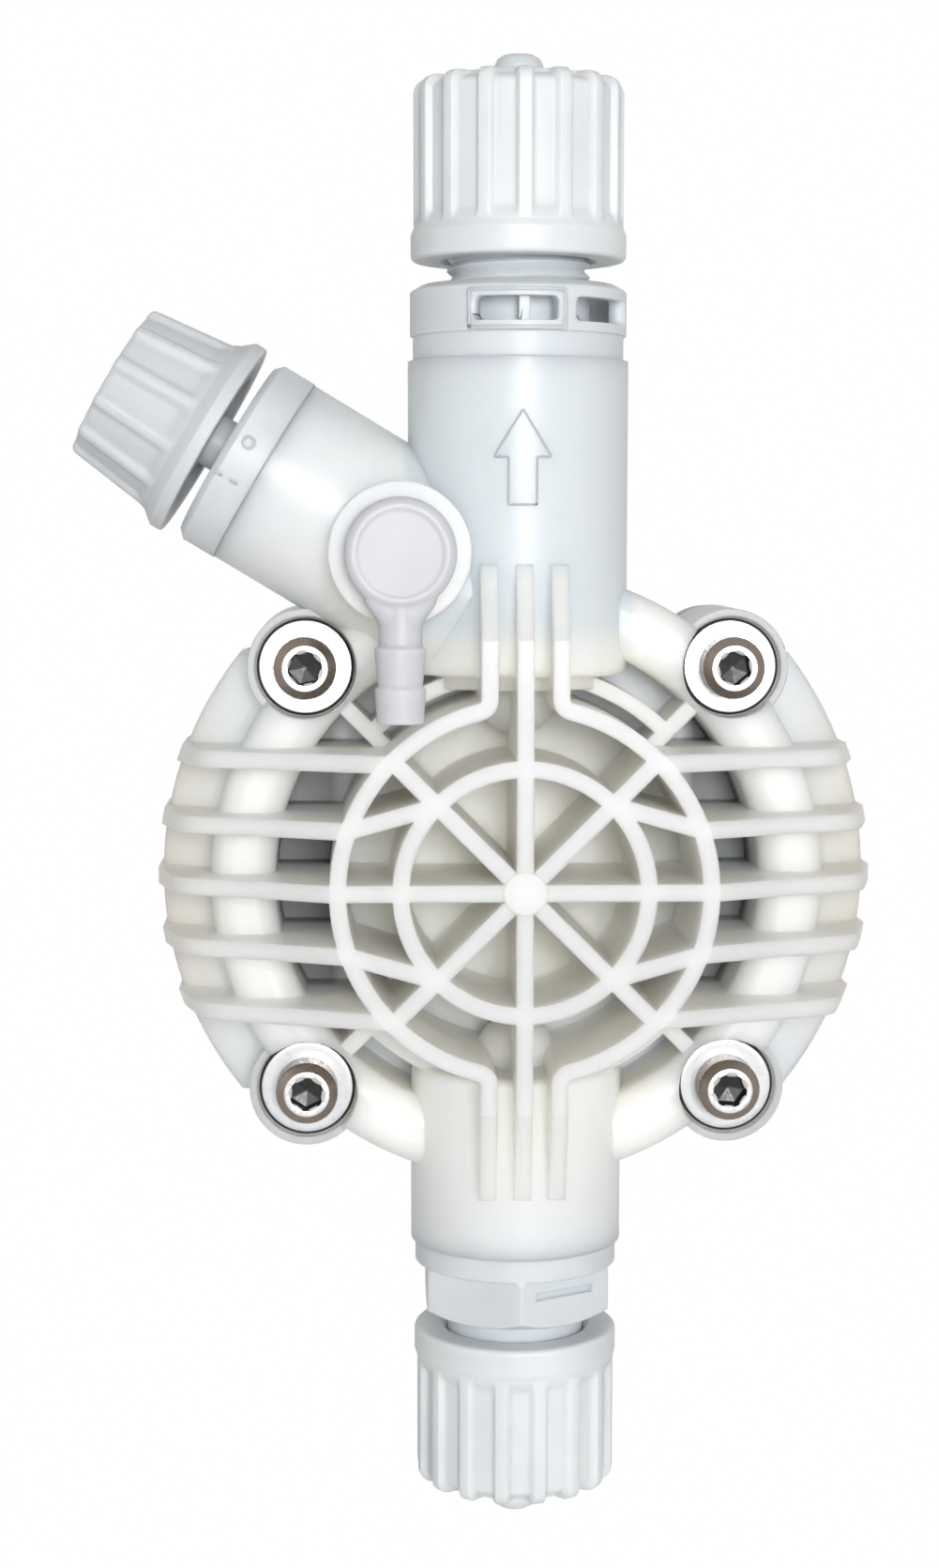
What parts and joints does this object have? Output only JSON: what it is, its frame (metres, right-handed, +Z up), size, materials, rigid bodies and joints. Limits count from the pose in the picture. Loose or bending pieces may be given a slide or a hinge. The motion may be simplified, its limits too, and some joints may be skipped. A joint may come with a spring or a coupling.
{
  "type": "diaphragm metering pump liquid end",
  "caption": "Liquid end of a diaphragm metering pump: ribbed dosing head with suction and discharge valves, bleed valve and backplate.",
  "frame": {"origin": "centre of the backplate's rear face, on the diaphragm's axis", "axes": "+Y out of the rear face towards the drive, +Z up along the valve axis to the discharge valve, ribbed front faces -Y"},
  "size_m": [0.1112, 0.0601, 0.2038],
  "materials": {
    "natural_plastic": "satin, slightly translucent",
    "grey_plastic": "satin",
    "diaphragm_face": "smooth",
    "stainless_steel": "turned",
    "ceramic": "polished",
    "black_rubber": "matt"
  },
  "bodies": {
    "head": {"dosing_head": "natural_plastic", "backplate": "grey_plastic", "diaphragm": "diaphragm_face", "head_screws": "stainless_steel", "head_washers": "stainless_steel", "discharge_seat": "natural_plastic", "discharge_ball_guide": "natural_plastic", "discharge_lower_o_ring": "black_rubber", "discharge_upper_o_ring": "black_rubber", "suction_seat": "natural_plastic", "suction_ball_guide": "natural_plastic", "suction_lower_o_ring": "black_rubber", "suction_upper_o_ring": "black_rubber", "discharge_connector": "natural_plastic", "suction_connector": "natural_plastic", "discharge_hose_nozzle": "natural_plastic", "suction_hose_nozzle": "natural_plastic", "bleed_collar": "natural_plastic"},
    "diaphragm_drive": {"diaphragm_core": "stainless_steel", "diaphragm_stud": "stainless_steel"},
    "discharge_valve_ball": {"discharge_ball": "ceramic"},
    "suction_valve_ball": {"suction_ball": "ceramic"},
    "bleed_tip": {"bleed_seal_tip": "natural_plastic"},
    "bleed_handle": {"bleed_knob": "natural_plastic", "bleed_stem": "natural_plastic", "bleed_o_ring": "black_rubber"},
    "discharge_ring": {"discharge_clamp_ring": "natural_plastic"},
    "discharge_nut": {"discharge_union_nut": "natural_plastic"},
    "suction_ring": {"suction_clamp_ring": "natural_plastic"},
    "suction_nut": {"suction_union_nut": "natural_plastic"},
    "hose_elbow": {"bleed_hose_elbow": "natural_plastic", "elbow_o_ring": "black_rubber"}
  },
  "joints": [
    {"name": "diaphragm_stroke", "type": "slide", "parent": "head", "child": "diaphragm_drive", "axis": [0, -1, 0], "range_m": [0, 0.0015], "deforming": ["diaphragm"]},
    {"name": "discharge_ball_lift", "type": "slide", "parent": "head", "child": "discharge_valve_ball", "axis": [0, 0, 1], "range_m": [0, 0.002]},
    {"name": "suction_ball_lift", "type": "slide", "parent": "head", "child": "suction_valve_ball", "axis": [0, 0, 1], "range_m": [0, 0.002]},
    {"name": "bleed_lift", "type": "slide", "parent": "head", "child": "bleed_tip", "axis": [-0.8572, 0, 0.515], "range_m": [0, 0.0015]},
    {"name": "bleed_turn", "type": "hinge", "parent": "bleed_tip", "child": "bleed_handle", "pos_m": [-0.02057, -0.0235, 0.04756], "axis": [-0.8572, 0, 0.515], "range_deg": [0, 360]},
    {"name": "discharge_nut_lift", "type": "slide", "parent": "head", "child": "discharge_ring", "axis": [0, 0, 1], "range_m": [0, 0.0105]},
    {"name": "discharge_nut_turn", "type": "hinge", "parent": "discharge_ring", "child": "discharge_nut", "pos_m": [0, -0.0235, 0.0968], "axis": [0, 0, 1], "range_deg": [0, 2160]},
    {"name": "suction_nut_lift", "type": "slide", "parent": "head", "child": "suction_ring", "axis": [0, 0, -1], "range_m": [0, 0.0105]},
    {"name": "suction_nut_turn", "type": "hinge", "parent": "suction_ring", "child": "suction_nut", "pos_m": [0, -0.0235, -0.0755], "axis": [0, 0, -1], "range_deg": [0, 2160]},
    {"name": "elbow_swivel", "type": "hinge", "parent": "head", "child": "hose_elbow", "pos_m": [-0.01663, -0.04, 0.04519], "axis": [0, 1, 0], "range_deg": [0, 110]}
  ],
  "couplings": [
    {"joint": "bleed_lift", "follows": "bleed_turn", "m_per_rad": 0.00023873},
    {"joint": "discharge_nut_lift", "follows": "discharge_nut_turn", "m_per_rad": 0.00027852},
    {"joint": "suction_nut_lift", "follows": "suction_nut_turn", "m_per_rad": 0.00027852}
  ]
}
